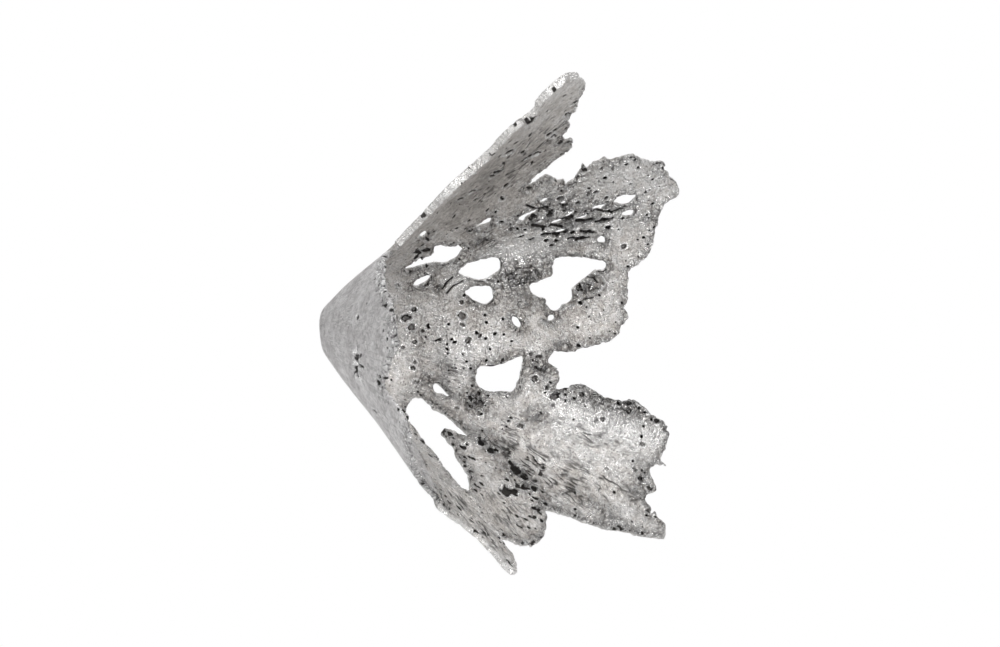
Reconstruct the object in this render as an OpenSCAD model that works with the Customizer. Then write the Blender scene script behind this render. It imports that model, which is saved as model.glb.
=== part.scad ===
// Wall bowl: an open, petalled funnel of cast metal that hangs from one screw.
// The funnel's axis is Y. Its nose sits on the wall at Y = 0 and its petals reach out to -Y.
// Outlines are drawn in the front view as [angle, radius]: angle 0 is +X, 90 is up.

/* [Shell] */
// Angle between the funnel's axis and its wall, in degrees
flare = 40.5; // [38:0.5:43]
// Thickness of the cast wall
wall = 4.5; // [3:0.5:6]
// Radius of the rounded nose
nose_r = 26.5; // [24:0.5:29]
// Depth of solid metal in the nose, measured from the wall
nose_depth = 22; // [19:1:26]
// Radius at which the petals start from the nose cup
cup_r = 46; // [42:1:48]

/* [Wall fixing] */
// Outside radius of the threaded insert
insert_r = 6; // [5:0.5:7]
// Radius of the insert's bore, the minor radius of its thread
bore_r = 3.4; // [2.5:0.1:4]
// Length of the insert and of its bore
insert_length = 16; // [12:1:18]

/* [Hidden] */
$fn = 96;
pad_r = 12;
nose_centre = sqrt(nose_r * nose_r - pad_r * pad_r);
flank_r = nose_r * cos(flare);
flank_depth = nose_centre - nose_r * sin(flare);
inner_r = flank_r - wall * cos(flare);
inner_depth = flank_depth + wall * sin(flare);
reach = 215;
overcut = 1;

// Seams between petals, each listed from the nose outwards.
seam_front_top = [[108, 40], [108, 71]];
seam_front_strip = [[-84, 60], [-103, 84], [-115, 112], [-121, 125]];
seam_sill = [[-84, 60], [-72, 66], [-59.5, 84]];
seam_strip_inner = [[-88, 95], [-94, 107], [-95.5, 125], [-95.5, 142]];
seam_inner_rear = [[-59.5, 84], [-60, 98], [-61, 116], [-65, 125], [-68, 141]];
seam_rear_middle = [[-48, 40], [-43, 64], [-39, 66], [-32, 85], [-16, 98], [-14, 114]];
seam_middle_upper = [[41, 40], [41, 60], [37, 74]];
seam_middle_bridge = [[27, 82], [21, 82], [13, 84], [11, 94], [8.5, 101], [10, 112]];
seam_bridge_upper = [[33, 92], [32, 101], [28, 108], [24.5, 121]];
seam_rim_upper = [[18, 143], [15.5, 157]];
seam_upper_side = [[56, 96], [52, 103], [48, 110], [48.5, 117], [51, 125], [50.5, 136]];
seam_upper_top = [[64, 40], [60, 54], [57, 74], [59, 91]];
seam_side_top = [[59, 97], [60.5, 108], [61, 122]];

// Free rims of the petals, each listed anticlockwise.
rim_strip = [[-121, 125], [-113, 129], [-109, 133], [-106, 142], [-105, 158], [-102.5, 162], [-97, 154],
    [-95.5, 142]];
rim_inner = [[-95.5, 142], [-90, 145], [-84, 152], [-78, 152], [-72, 147], [-68, 141]];
rim_lower_rear = [[-68, 141], [-65, 152], [-61, 168], [-57.5, 181], [-54, 194], [-51, 200], [-48.5, 192], [-46, 180],
    [-43, 184], [-39, 178], [-36, 184], [-30, 184], [-25.5, 181], [-21.5, 164], [-23, 150], [-20, 138], [-21, 127],
    [-24, 120], [-19, 123], [-14, 114]];
rim_middle = [[-14, 114], [-9.5, 118], [-10, 128], [-7, 139], [-4, 149], [3, 155], [15.5, 157]];
rim_upper = [[15.5, 157], [18, 169], [25, 174], [30, 179], [31, 189], [38, 188], [43, 186], [46, 177], [50, 170],
    [51, 163], [55, 153], [51, 144], [50.5, 136]];
rim_side = [[50.5, 136], [54, 139], [60.5, 134], [61, 122]];
rim_top = [[61, 122], [62.5, 122], [63.5, 140], [64, 156], [71, 155], [72, 149], [73, 158], [80, 167], [84, 180],
    [87, 189], [94, 194], [99, 199], [103, 197], [104, 186], [98, 167], [103, 162], [102, 140], [105, 126],
    [110, 121], [109, 95], [108, 71]];
rim_front = [[108, 71], [121, 72], [133, 81], [145, 91], [153, 101], [161, 112], [168, 121], [174, 125], [177, 121],
    [181, 115], [186, 110], [190, 105], [193, 109], [195, 127], [201, 134], [208, 130], [218, 121], [230, 116],
    [239, 125]];

// Openings through the wall.
hole_lower = [[-57, 58], [-58, 70], [-60, 77], [-60, 86], [-65, 82], [-66, 76], [-72, 76], [-73, 84], [-78, 90],
    [-83, 100], [-93, 108], [-93, 96], [-88, 79], [-82, 61], [-74, 57], [-65, 57]];
hole_root = [[-47, 64], [-43, 61], [-39, 63], [-43, 70], [-46, 69]];
hole_rear_low = [[-33, 84], [-28, 80], [-22, 79], [-20, 88], [-13.5, 101], [-20, 102], [-29, 100]];
hole_middle = [[-2, 99], [3, 94], [4, 97]];
hole_rear = [[19, 145], [16, 142], [17.5, 134], [14, 127], [8, 126], [5, 117], [10, 112], [16.5, 104.5], [18, 117.5],
    [25, 120.5], [22, 134]];
hole_bridge_low = [[12, 82], [17, 74], [22, 74], [21, 84], [17, 87], [13, 86]];
hole_bridge_high = [[26, 82], [35, 72], [38.5, 78], [37, 87], [34, 93], [28, 92]];
hole_stem = [[37.5, 55], [41, 50], [44.5, 55], [41, 60]];
hole_upper = [[45, 70], [52, 63], [58, 52], [64, 51], [61, 62], [60, 67], [65, 70], [58, 74], [54, 79], [48, 79]];
hole_side = [[53, 97], [57, 90], [62.5, 88], [58, 99]];
hole_notch = [[45, 111], [48.5, 110], [49.5, 115], [47.5, 121]];
hole_top = [[80, 72], [90, 73], [90, 78], [84, 77]];
// Narrow slits of the upper rear petal: angle, radius, half width in degrees, half length.
slits = [[36.5, 160, 1.6, 5], [32, 159, 1, 4], [27, 144, 2, 2.5], [37, 147, 1.1, 5], [50.8, 124.5, 1.4, 3]];

function reversed(points) = [for (i = [len(points) - 1:-1:0]) points[i]];
function flat_point(p) = p[1] * [cos(p[0]), sin(p[0])];
function slit_outline(s) = [[s[0] - s[2], s[1]], [s[0], s[1] - s[3]], [s[0] + s[2], s[1]], [s[0], s[1] + s[3]]];

// Lays a front-view shape or a solid of revolution along the funnel's axis.
module along_axis() {
    rotate([90, 0, 0]) children();
}

module front_prism(outline) {
    along_axis()
        translate([0, 0, -overcut])
            linear_extrude(reach + 2 * overcut)
                polygon([for (p = outline) flat_point(p)]);
}

module funnel_outside() {
    translate([0, 0, flank_depth])
        cylinder(h = reach - flank_depth, r1 = flank_r, r2 = flank_r + (reach - flank_depth) * tan(flare));
    intersection() {
        translate([0, 0, nose_centre])
            sphere(nose_r);
        cylinder(h = flank_depth, r = nose_r);
    }
}

module funnel_inside() {
    inside_r = inner_r + (nose_depth - inner_depth) * tan(flare);
    translate([0, 0, nose_depth])
        cylinder(h = reach - nose_depth + overcut, r1 = inside_r,
            r2 = inside_r + (reach - nose_depth + overcut) * tan(flare));
}

module shell() {
    along_axis()
        difference() {
            funnel_outside();
            funnel_inside();
        }
}

// Cylinder about the funnel's axis that separates the nose cup from the petals.
module cup_core() {
    along_axis()
        translate([0, 0, -overcut])
            cylinder(h = reach, r = cup_r);
}

// One petal: the part of the shell inside an outline, outside the nose cup and without its holes.
module petal(outline, holes) {
    difference() {
        intersection() {
            shell();
            front_prism(outline);
        }
        cup_core();
        for (h = holes)
            front_prism(h);
    }
}

module nose_cup() {
    color("darkgray")
        difference() {
            intersection() {
                shell();
                union() {
                    cup_core();
                    front_prism(concat([[0, 0]], seam_front_top, rim_front, reversed(seam_front_strip)));
                }
            }
            along_axis()
                translate([0, 0, -overcut])
                    cylinder(h = insert_length + overcut, r = insert_r);
        }
}

module lower_front_petal() {
    color("silver")
        petal(concat(seam_front_strip, rim_strip, reversed(seam_strip_inner)), [hole_lower]);
}

module lower_inner_petal() {
    color("gray")
        petal(concat([[-72, 72]], seam_strip_inner, rim_inner, reversed(seam_inner_rear)), [hole_lower]);
}

module lower_rear_petal() {
    color("gainsboro")
        petal(concat([[0, 0]], seam_sill, seam_inner_rear, rim_lower_rear, reversed(seam_rear_middle)),
            [hole_lower, hole_root, hole_rear_low]);
}

module middle_rear_petal() {
    color("silver")
        petal(concat([[0, 0]], seam_rear_middle, rim_middle, reversed(seam_rim_upper), reversed(seam_middle_bridge),
                reversed(seam_middle_upper)),
            [hole_root, hole_rear_low, hole_middle, hole_rear, hole_bridge_low, hole_bridge_high, hole_stem]);
}

module rear_bridge() {
    color("gray")
        petal(concat(seam_middle_bridge, [[20, 125]], reversed(seam_bridge_upper)),
            [hole_rear, hole_bridge_low, hole_bridge_high]);
}

module upper_rear_petal() {
    color("silver")
        petal(concat([[0, 0]], seam_middle_upper, seam_bridge_upper, seam_rim_upper, rim_upper,
                reversed(seam_upper_side), reversed(seam_upper_top)),
            concat([hole_rear, hole_bridge_high, hole_stem, hole_upper, hole_side, hole_notch],
                [for (s = slits) slit_outline(s)]));
}

module upper_side_petal() {
    color("darkgray")
        petal(concat(seam_upper_side, rim_side, reversed(seam_side_top)), [hole_side, hole_notch, slit_outline(slits[4])]);
}

module top_petal() {
    color("gray")
        petal(concat([[0, 0]], seam_upper_top, seam_side_top, rim_top, reversed(seam_front_top)),
            [hole_upper, hole_side, hole_top]);
}

module wall_insert() {
    color("goldenrod")
        along_axis()
            difference() {
                cylinder(h = insert_length, r = insert_r);
                translate([0, 0, -overcut])
                    cylinder(h = insert_length - overcut, r = bore_r);
            }
}

nose_cup();
lower_front_petal();
lower_inner_petal();
lower_rear_petal();
middle_rear_petal();
rear_bridge();
upper_rear_petal();
upper_side_petal();
top_petal();
wall_insert();
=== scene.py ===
"""Looks of the cast wall bowl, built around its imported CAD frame.

The funnel's wall is a cone, so it unrolls flat without stretching. Everything about a petal (its outline,
holes, pits, lumps and thickness) is a map on that unrolled sheet. Each petal is cut from the maps as a
closed solid, rolled back onto the cone, and stands for its CAD node. Lengths are millimetres until a mesh
is made. A place on the sheet is written (angle, radius): degrees round the funnel in the front view, 0 to
the right and 90 up, and the distance of the inner skin from the funnel's axis.
"""
import math

import bpy
import numpy as np
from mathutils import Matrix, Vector


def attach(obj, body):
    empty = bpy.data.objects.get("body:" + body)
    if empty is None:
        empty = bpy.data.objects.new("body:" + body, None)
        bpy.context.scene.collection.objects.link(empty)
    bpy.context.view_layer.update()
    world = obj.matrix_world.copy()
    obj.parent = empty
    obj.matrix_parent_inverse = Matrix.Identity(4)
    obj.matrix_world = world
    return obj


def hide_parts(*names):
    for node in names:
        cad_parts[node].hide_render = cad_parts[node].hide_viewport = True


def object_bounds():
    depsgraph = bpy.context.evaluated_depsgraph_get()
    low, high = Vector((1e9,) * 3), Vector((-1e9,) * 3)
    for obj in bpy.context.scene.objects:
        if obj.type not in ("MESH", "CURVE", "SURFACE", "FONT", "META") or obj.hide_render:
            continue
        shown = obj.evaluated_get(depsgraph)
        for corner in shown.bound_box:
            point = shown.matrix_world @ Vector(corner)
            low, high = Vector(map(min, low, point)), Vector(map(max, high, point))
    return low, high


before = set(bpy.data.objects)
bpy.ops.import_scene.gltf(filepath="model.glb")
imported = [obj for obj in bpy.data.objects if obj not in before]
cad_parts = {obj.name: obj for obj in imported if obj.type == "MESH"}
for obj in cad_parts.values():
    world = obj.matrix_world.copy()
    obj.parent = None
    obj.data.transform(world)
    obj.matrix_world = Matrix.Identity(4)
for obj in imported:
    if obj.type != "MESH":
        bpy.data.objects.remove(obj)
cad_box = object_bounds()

# ---------------------------------------------------------------- shell
FLARE = math.radians(40.5)
SIN, COS = math.sin(FLARE), math.cos(FLARE)
WALL = 4.5
NOSE_R = 26.5
PAD_R = 12.0
NOSE_DEPTH = 22.0
INSERT_R = 6.0
INSERT_LENGTH = 16.0
NOSE_CENTRE = math.sqrt(NOSE_R ** 2 - PAD_R ** 2)
APEX = NOSE_CENTRE - NOSE_R / SIN
CUP_R = 37.0
STEP = 0.75
CUP_STEP = 1.1
RIM_ROUND = 1.3
SEAM_OVERLAP = 0.35
# Corners of the unrolled sheets and of the nose cup's lattice, and the angle in the middle of the front wall.
FAR_LOW, FAR_HIGH = (8, -292), (312, 302)
FRONT_LOW, FRONT_HIGH = (10, -190), (235, 190)
FRONT_MIDDLE = 176.5
CUP_LOW, CUP_HIGH = (-142.0, -3.0, -144.0), (64.0, 170.0, 98.0)
# The cup's rounded floor: its radius, and how softly it meets the wall.
FLOOR_R = 32.0
FLOOR_BLEND = 6
# Radius at which flow lines keep their true width, how far a place may rise or sink, and tries at small pits.
FLOW_R = 110
SKIN_ROOM = 4.5
FAR_PITS = 5200
FRONT_PITS = 2600


def unroll(place, middle=0.0):
    """Point of the flat sheet for (angle, radius), where the sheet is cut opposite the angle middle."""
    angle, radius = place
    slant = (radius + WALL * COS) / SIN
    turn = math.radians(angle - middle) * SIN
    return slant * math.cos(turn), slant * math.sin(turn)


def polar(x, y, middle=0.0):
    """(angle, radius) of points of the sheet."""
    slant = np.hypot(x, y)
    return np.degrees(np.arctan2(y, x)) / SIN + middle, slant * SIN - WALL * COS


def roll(x, y, inward):
    """Rolls points of the sheet, at a depth inward from the outer skin, onto the funnel."""
    slant = np.hypot(x, y)
    angle = np.arctan2(y, x) / SIN
    inward = inward - swell(np.degrees(angle), slant)
    radius = slant * SIN - inward * COS
    depth = APEX + slant * COS + inward * SIN
    return np.stack([radius * np.cos(angle), -depth, radius * np.sin(angle)], -1)


def swell(angle, slant):
    """How far the hand-shaped wall stands outside the true cone, at a slant distance from its apex."""
    fade = np.clip((125 - slant) / 75, 0, 1)
    fade = fade * fade * (3 - 2 * fade)
    top = 3.6 * np.exp(-(((angle - 122 + 180) % 360 - 180) / 38) ** 2)
    bottom = 1.2 * np.exp(-(((angle - 234 + 180) % 360 - 180) / 30) ** 2)
    lump = 2.6 * np.exp(-(((angle - 240 + 180) % 360 - 180) / 10) ** 2 - ((slant - 187) / 17) ** 2)
    strip = 1.3 * np.exp(-(((angle - 252 + 180) % 360 - 180) / 9) ** 2) * np.clip((slant - 150) / 30, 0, 1)
    return fade * (1.3 + top + bottom) + lump + strip


# ---------------------------------------------------------------- noise
def corner(ix, iy, iz, seed):
    """Repeatable value from 0 to 1 at each lattice corner."""
    n = (ix * 374761393 + iy * 668265263 + iz * 1440662683 + seed * 974634777) & 0xFFFFFFFF
    n = ((n ^ (n >> 13)) * 1274126177) & 0xFFFFFFFF
    return ((n ^ (n >> 16)) & 0xFFFF) / 65535.0


def noise(x, y, size, seed, z=None):
    """Smooth value noise from -1 to 1 with features about size across."""
    axes = [x / size, y / size] + ([] if z is None else [z / size])
    low = [np.floor(a).astype(np.int64) for a in axes]
    part = [a - l for a, l in zip(axes, low)]
    part = [p * p * p * (p * (p * 6 - 15) + 10) for p in part]
    if z is None:
        low.append(np.zeros_like(low[0]))
        part.append(None)
    total = 0.0
    for dx in (0, 1):
        wx = part[0] if dx else 1 - part[0]
        for dy in (0, 1):
            wy = part[1] if dy else 1 - part[1]
            for dz in ((0,) if z is None else (0, 1)):
                wz = 1.0 if z is None else (part[2] if dz else 1 - part[2])
                total = total + wx * wy * wz * corner(low[0] + dx, low[1] + dy, low[2] + dz, seed)
    return total * 2 - 1


def cloud(x, y, size, seed, octaves=3):
    """Layered noise from about -1 to 1, each layer half the size and half as strong."""
    total, weight, norm = 0.0, 1.0, 0.0
    for i in range(octaves):
        total = total + weight * noise(x, y, size / 2 ** i, seed + i)
        norm += weight
        weight /= 2
    return total / norm * 1.4


# ---------------------------------------------------------------- outlines on the sheet
def smooth_outline(points, rounds=2):
    """Cuts the corners of a closed outline, so that few points give a rounded shape."""
    pts = np.array(points, float)
    for _ in range(rounds):
        after = np.roll(pts, -1, 0)
        pts = np.stack([pts * 0.78 + after * 0.22, pts * 0.22 + after * 0.78], 1).reshape(-1, 2)
    return pts


def inside_distance(x, y, outline):
    """Signed distance of points from a closed outline, positive inside it."""
    best = np.full(x.shape, 1e9)
    odd = np.zeros(x.shape, bool)
    for (ax, ay), (bx, by) in zip(outline, np.roll(outline, -1, 0)):
        ex, ey = bx - ax, by - ay
        length2 = ex * ex + ey * ey
        if length2 < 1e-12:
            continue
        t = np.clip(((x - ax) * ex + (y - ay) * ey) / length2, 0, 1)
        best = np.minimum(best, (x - ax - t * ex) ** 2 + (y - ay - t * ey) ** 2)
        crosses = (ay > y) != (by > y)
        if ey != 0:
            odd ^= crosses & (x < ax + (y - ay) / ey * ex)
    return np.where(odd, 1, -1) * np.sqrt(best)


class Sheet:
    """The unrolled wall between two radii, as maps on a square lattice.

    metal is the distance inside the metal, negative in holes and past the rim. inner and outer are how far
    the two skins lie inward of the plain outer skin. The pit maps hold painted shade, 0 to 1, on each skin:
    in pits, creases and grooves.
    """

    def __init__(self, middle, low, high, step):
        self.middle, self.step = middle, step
        self.x0, self.y0 = low
        nx = int((high[0] - low[0]) / step) + 1
        ny = int((high[1] - low[1]) / step) + 1
        xs = self.x0 + step * np.arange(nx)
        ys = self.y0 + step * np.arange(ny)
        self.x, self.y = np.meshgrid(xs, ys, indexing="ij")
        self.angle, self.radius = polar(self.x, self.y, middle)
        self.metal = np.full(self.x.shape, 99.0)
        self.inner = np.full(self.x.shape, WALL)
        self.outer = np.zeros(self.x.shape)
        self.pit_shade_in = np.zeros(self.x.shape)
        self.pit_shade_out = np.zeros(self.x.shape)
        self.jog_x = noise(self.x, self.y, 3.0, 91) + 0.6 * noise(self.x, self.y, 1.4, 92)
        self.jog_y = noise(self.x, self.y, 3.0, 93) + 0.6 * noise(self.x, self.y, 1.4, 94)

    def window(self, cx, cy, reach):
        """Slices of the lattice round a point."""
        i = int((cx - self.x0) / self.step)
        j = int((cy - self.y0) / self.step)
        n = int(reach / self.step) + 2
        nx, ny = self.x.shape
        return slice(max(i - n, 0), min(i + n + 1, nx)), slice(max(j - n, 0), min(j + n + 1, ny))

    def place(self, angle, radius):
        return unroll((angle, radius), self.middle)

    def patch(self, angle, radius, angle_size, radius_size):
        """Soft patch, 1 at its centre and near 0 past its size."""
        a = (self.angle - angle) / angle_size
        r = (self.radius - radius) / radius_size
        return np.exp(-(a * a + r * r) * 1.2)

    def cut(self, places, ragged):
        """Cuts a hole with the given corners and a ragged edge."""
        outline = smooth_outline([self.place(*p) for p in places])
        low, high = outline.min(0), outline.max(0)
        w = self.window(*((low + high) / 2), max(high - low) / 2 + 14)
        x, y = self.x[w], self.y[w]
        d = inside_distance(x, y, outline)
        d = d + ragged * cloud(x, y, 5.0, 31) + 0.4 * ragged * noise(x, y, 1.7, 37)
        self.metal[w] = np.minimum(self.metal[w], -d)

    def slit(self, angle, radius, width, length, tilt=0.0, ragged=0.3):
        """Cuts a slit, lying along the radius unless tilted, in degrees."""
        cx, cy = self.place(angle, radius)
        w = self.window(cx, cy, length + 8)
        along = math.atan2(cy, cx) + math.radians(tilt)
        dx, dy = self.x[w] - cx, self.y[w] - cy
        u = dx * math.cos(along) + dy * math.sin(along)
        v = -dx * math.sin(along) + dy * math.cos(along)
        q = np.hypot(u / (length / 2), v / (width / 2))
        d = (1 - q) * width / 2 + ragged * noise(self.x[w], self.y[w], 2.2, 41)
        self.metal[w] = np.minimum(self.metal[w], -d)

    def crater(self, angle, radius, size, depth, long=1.0, tilt=0.0, **look):
        """Presses a crater of the given diameter and depth in at (angle, radius), tilted in degrees."""
        self.crater_at(*self.place(angle, radius), size, depth, long, math.radians(tilt), **look)

    def crater_at(self, cx, cy, size, depth, long, tilt, lip, dark, outside=False, ringed=False):
        """Presses a crater into a skin, with a raised lip round it, and paints shade into it. A ringed one
        has its painted shade as a dark ring round a light floor.
        """
        w = self.window(cx, cy, size * long + 2)
        along = math.atan2(cy, cx) + tilt
        jog = 0.12 * size + 0.12
        dx, dy = self.x[w] - cx + jog * self.jog_x[w], self.y[w] - cy + jog * self.jog_y[w]
        u = (dx * math.cos(along) + dy * math.sin(along)) / long
        v = -dx * math.sin(along) + dy * math.cos(along)
        q = np.hypot(u, v) / (size / 2)
        bowl = np.clip((1 - q ** 3) * 1.3, 0, 1)
        ring = np.exp(-((q - 1.25) / 0.3) ** 2)
        change = depth * bowl - lip * ring
        # Painted shade in the crater, as strong as dark.
        shade = dark * np.clip((1.12 - q) * 2.2, 0, 1)
        if ringed:
            ring_width = max(0.2, 1.1 / size)
            shade *= 0.1 + 0.9 * np.exp(-((q - 0.82 + 0.14 * self.jog_x[w]) / ring_width) ** 2)
        if outside:
            self.outer[w] += change
            self.pit_shade_out[w] = np.maximum(self.pit_shade_out[w], shade)
        else:
            self.inner[w] -= change
            self.pit_shade_in[w] = np.maximum(self.pit_shade_in[w], shade)

    def ridge(self, places, width, height, outside=False):
        """Raises a rounded ridge, or sinks a groove for a negative height, along a line of places. A groove
        also gets painted shade along it.
        """
        pts = np.array([self.place(*p) for p in places])
        low, high = pts.min(0), pts.max(0)
        w = self.window(*((low + high) / 2), max(high - low) / 2 + 3 * width)
        x, y = self.x[w], self.y[w]
        best = np.full(x.shape, 1e9)
        for (ax, ay), (bx, by) in zip(pts[:-1], pts[1:]):
            ex, ey = bx - ax, by - ay
            t = np.clip(((x - ax) * ex + (y - ay) * ey) / (ex * ex + ey * ey), 0, 1)
            best = np.minimum(best, np.hypot(x - ax - t * ex, y - ay - t * ey))
        best = best + 0.35 * width * noise(x, y, 4.0, 53)
        rise = height * np.exp(-(best / width) ** 2)
        if outside:
            self.outer[w] -= rise
        else:
            self.inner[w] += rise
        # Painted shade along a groove, darker for a deeper groove.
        if height < 0:
            dark = self.pit_shade_out if outside else self.pit_shade_in
            dark[w] = np.maximum(dark[w], np.exp(-(best / width) ** 2) * min(0.85, -height / 1.8))


# Free rims, each from its lower neighbour to its upper one.
RIM_STRIP = [(-126, 96), (-125, 108), (-121, 118), (-117, 125), (-113, 125.5), (-109.5, 128), (-106.5, 133),
             (-105.3, 141), (-104.8, 150), (-104.3, 157), (-102.5, 159.5), (-99, 154), (-96.5, 149),
             (-96, 141)]
RIM_INNER = [(-94, 137), (-90.5, 139), (-86.5, 144.5), (-82.5, 147.5), (-77.5, 147), (-73, 145), (-69, 140),
             (-67, 138)]
RIM_LOWER_REAR = [(-65.7, 142), (-63.7, 150), (-61.3, 160), (-59, 169), (-57, 175), (-55.5, 184),
                  (-54, 191), (-51.5, 197), (-50, 194), (-48.5, 187), (-47.5, 185), (-49.5, 183.5),
                  (-47.5, 183), (-46.5, 178), (-44.5, 178), (-43, 182), (-40.5, 180), (-39.5, 176),
                  (-37, 176), (-35.7, 179), (-35.3, 185), (-34.6, 179), (-32, 181), (-28, 181),
                  (-25.5, 178), (-24, 170), (-22, 163), (-21.5, 158), (-23, 151), (-22.5, 143), (-20, 135),
                  (-20.5, 128), (-23, 123), (-24, 119), (-20, 121.5), (-16.5, 120), (-14.3, 113.5)]
RIM_MIDDLE = [(-12, 114.5), (-9.7, 117), (-10.3, 126), (-8.2, 130), (-7, 138), (-5.3, 145), (-3, 149),
              (-0.5, 150), (1, 154), (3.5, 152), (4.5, 150.5), (6, 152.5), (9, 153), (12, 154), (15, 154.5)]
RIM_UPPER = [(15.8, 160), (18, 166), (21, 168.5), (25, 172), (29, 176), (30.7, 181), (31, 186.5),
             (34, 187.5), (37, 184.5), (40, 184), (42, 184.5), (43.5, 179), (46, 175), (49, 172), (50, 165),
             (50.5, 161), (53, 160), (52, 156.5), (55, 152), (54.5, 149), (52, 146), (51, 140),
             (50.5, 133.5)]
RIM_SIDE = [(52, 137.5), (53.5, 138), (55, 135), (58, 134), (60.5, 132), (60.8, 126), (60.7, 121.5)]
RIM_TOP = [(61.8, 121.5), (63, 130), (64, 142), (64.3, 152), (66, 153), (68, 154.5), (69.2, 152),
           (71.3, 153), (71.8, 148.5), (72.6, 153), (75, 159.5), (79, 163), (80.5, 171), (84, 177),
           (87, 186), (92, 190), (97, 195), (101, 195), (104, 188), (103.5, 178), (98.5, 169), (99.5, 164),
           (103, 162), (103, 150), (101, 138), (104, 127), (109, 122), (111, 112), (109, 98), (108, 84),
           (110, 74), (118, 68), (120, 60)]

# Openings through the wall.
HOLES = {
    "lower": [(-55, 57), (-56.5, 65), (-58.5, 66), (-56.5, 72), (-58, 80), (-59.8, 88), (-63, 86),
        (-63.5, 80), (-65.5, 76.5), (-69.5, 76), (-70.5, 81), (-72, 86), (-76, 90), (-78, 96), (-81, 102),
        (-86.5, 107.5), (-92, 109.5), (-92.5, 98), (-90, 88), (-87.6, 79), (-85, 70), (-80.5, 60),
        (-76, 57), (-70, 56), (-63, 55.5)],
    "root": [(-47.5, 63), (-44, 61), (-40, 62), (-39.5, 63.5), (-42, 67), (-43.5, 70.5), (-45.5, 70),
        (-46, 66)],
    "rear_low": [(-32.5, 83), (-30, 80.5), (-24, 79.5), (-20.7, 80.5), (-20.5, 86), (-19, 90), (-16, 95),
        (-13.3, 100), (-14, 101.5), (-18, 101.5), (-22, 101), (-29, 100), (-31, 93), (-33, 86)],
    "middle": [(-2, 99), (0.5, 99.5), (3, 97), (4.3, 95), (2, 94.5), (0, 96)],
    "middle_high": [(1, 114.5), (2, 116.5), (3.5, 115.5), (3.3, 113), (1.5, 112.7)],
    "rear": [(16.2, 142), (17, 144.2), (19, 144), (21, 138), (23.3, 129), (25.2, 120.3), (22, 117.8),
        (18, 117.5), (17.3, 110), (16.7, 104.5), (13, 105.5), (10.5, 108.5), (10, 112), (7, 112.5),
        (4.8, 115), (5, 118.5), (7, 120), (7, 124), (9.5, 126), (12.8, 125), (15.6, 126), (17.2, 130),
        (17.6, 134), (17.4, 137)],
    "bridge_low": [(11.7, 81), (12, 84), (13.5, 86.2), (17, 86.5), (20.3, 85.8), (21.5, 82), (22.6, 77),
        (21.5, 73.5), (19, 73.3), (15.5, 75.5), (13, 78.5)],
    "bridge_high": [(24, 82), (24.3, 86), (25.4, 91), (27.5, 92.7), (32.5, 93.7), (34.5, 91.5), (35.2, 88),
        (36.7, 85), (37.9, 79), (36.7, 75), (34.4, 72.3), (31.5, 73.5), (27.8, 77)],
    "stem": [(36, 53), (37.3, 50.3), (41.5, 50), (43.7, 53), (44, 57), (41.8, 60), (39.2, 59.5),
        (36.8, 57)],
    "upper": [(43.7, 70), (44.2, 75), (46.3, 78.6), (49.5, 79.6), (53, 78.6), (56.2, 75), (59.4, 73.3),
        (63.4, 72.5), (64.7, 70), (62.4, 68.5), (58.8, 67), (59.2, 63), (62, 58), (64.4, 52.5),
        (63.2, 50.5), (58.5, 50.7), (55.2, 54), (52.2, 60), (48.2, 64.5)],
    "side": [(53.3, 97), (55, 98.7), (58, 99.3), (59.6, 96), (60.5, 91), (62.7, 88), (60, 88.3), (57, 90.7),
        (55, 94)],
    "notch": [(45, 111.3), (46.6, 112.3), (46.8, 119), (48, 121), (48.6, 117.5), (49.6, 114.5), (49, 110),
        (47.5, 109.5)],
    "side_pin": [(51, 122.2), (51.6, 125.2), (49.5, 127.8), (48.8, 124)],
    "top": [(79, 72), (83, 75.5), (88, 78), (92, 78), (92, 73.5), (86, 72)],
    "side_gap": [(60.9, 120.5), (60.8, 126), (60.4, 131), (59.6, 133), (59.2, 129), (59.6, 124)],
    "upper_wide": [(36.6, 154), (38.3, 158), (36.6, 165.5), (35.2, 166), (33.8, 160.8)],
    "upper_flag": [(31.7, 156), (32.8, 158.8), (31.9, 163.5), (30.3, 161.4)],
    "upper_wedge": [(28.4, 144.8), (24.2, 146.6), (26.6, 140.8)],
    "upper_leaf": [(39.3, 129.6), (41, 133.8), (39.3, 136.6), (38.3, 131.5)],
    "side_dot": [(46.2, 131), (46.4, 133), (44.2, 133.6), (44.4, 131.2)],
}
# Slits of the pierced upper petal: angle, radius, width, length, tilt.
SLITS = [(37.4, 147, 3.8, 12, -12), (36.2, 138, 3.4, 9, -14), (38.9, 125.4, 3.6, 10, -14),
         (42.1, 118, 3.4, 8, -12), (34.6, 125.8, 3, 8, -10), (28.2, 169.8, 1.8, 2.6, 0)]
# Painted shade in the hollows under the lips round the slits: angle, radius, width, length over width.
LENSES = [(38.6, 132, 4, 1.6), (34.2, 123.4, 3.6, 2.4), (32.5, 148, 4.6, 2), (43.5, 123.8, 4.2, 1.6),
          (29.8, 148.5, 4, 1.4), (36.4, 117.8, 3.4, 2.2), (31.8, 122, 2.6, 2.4), (46, 117, 3.6, 1.6)]
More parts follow.
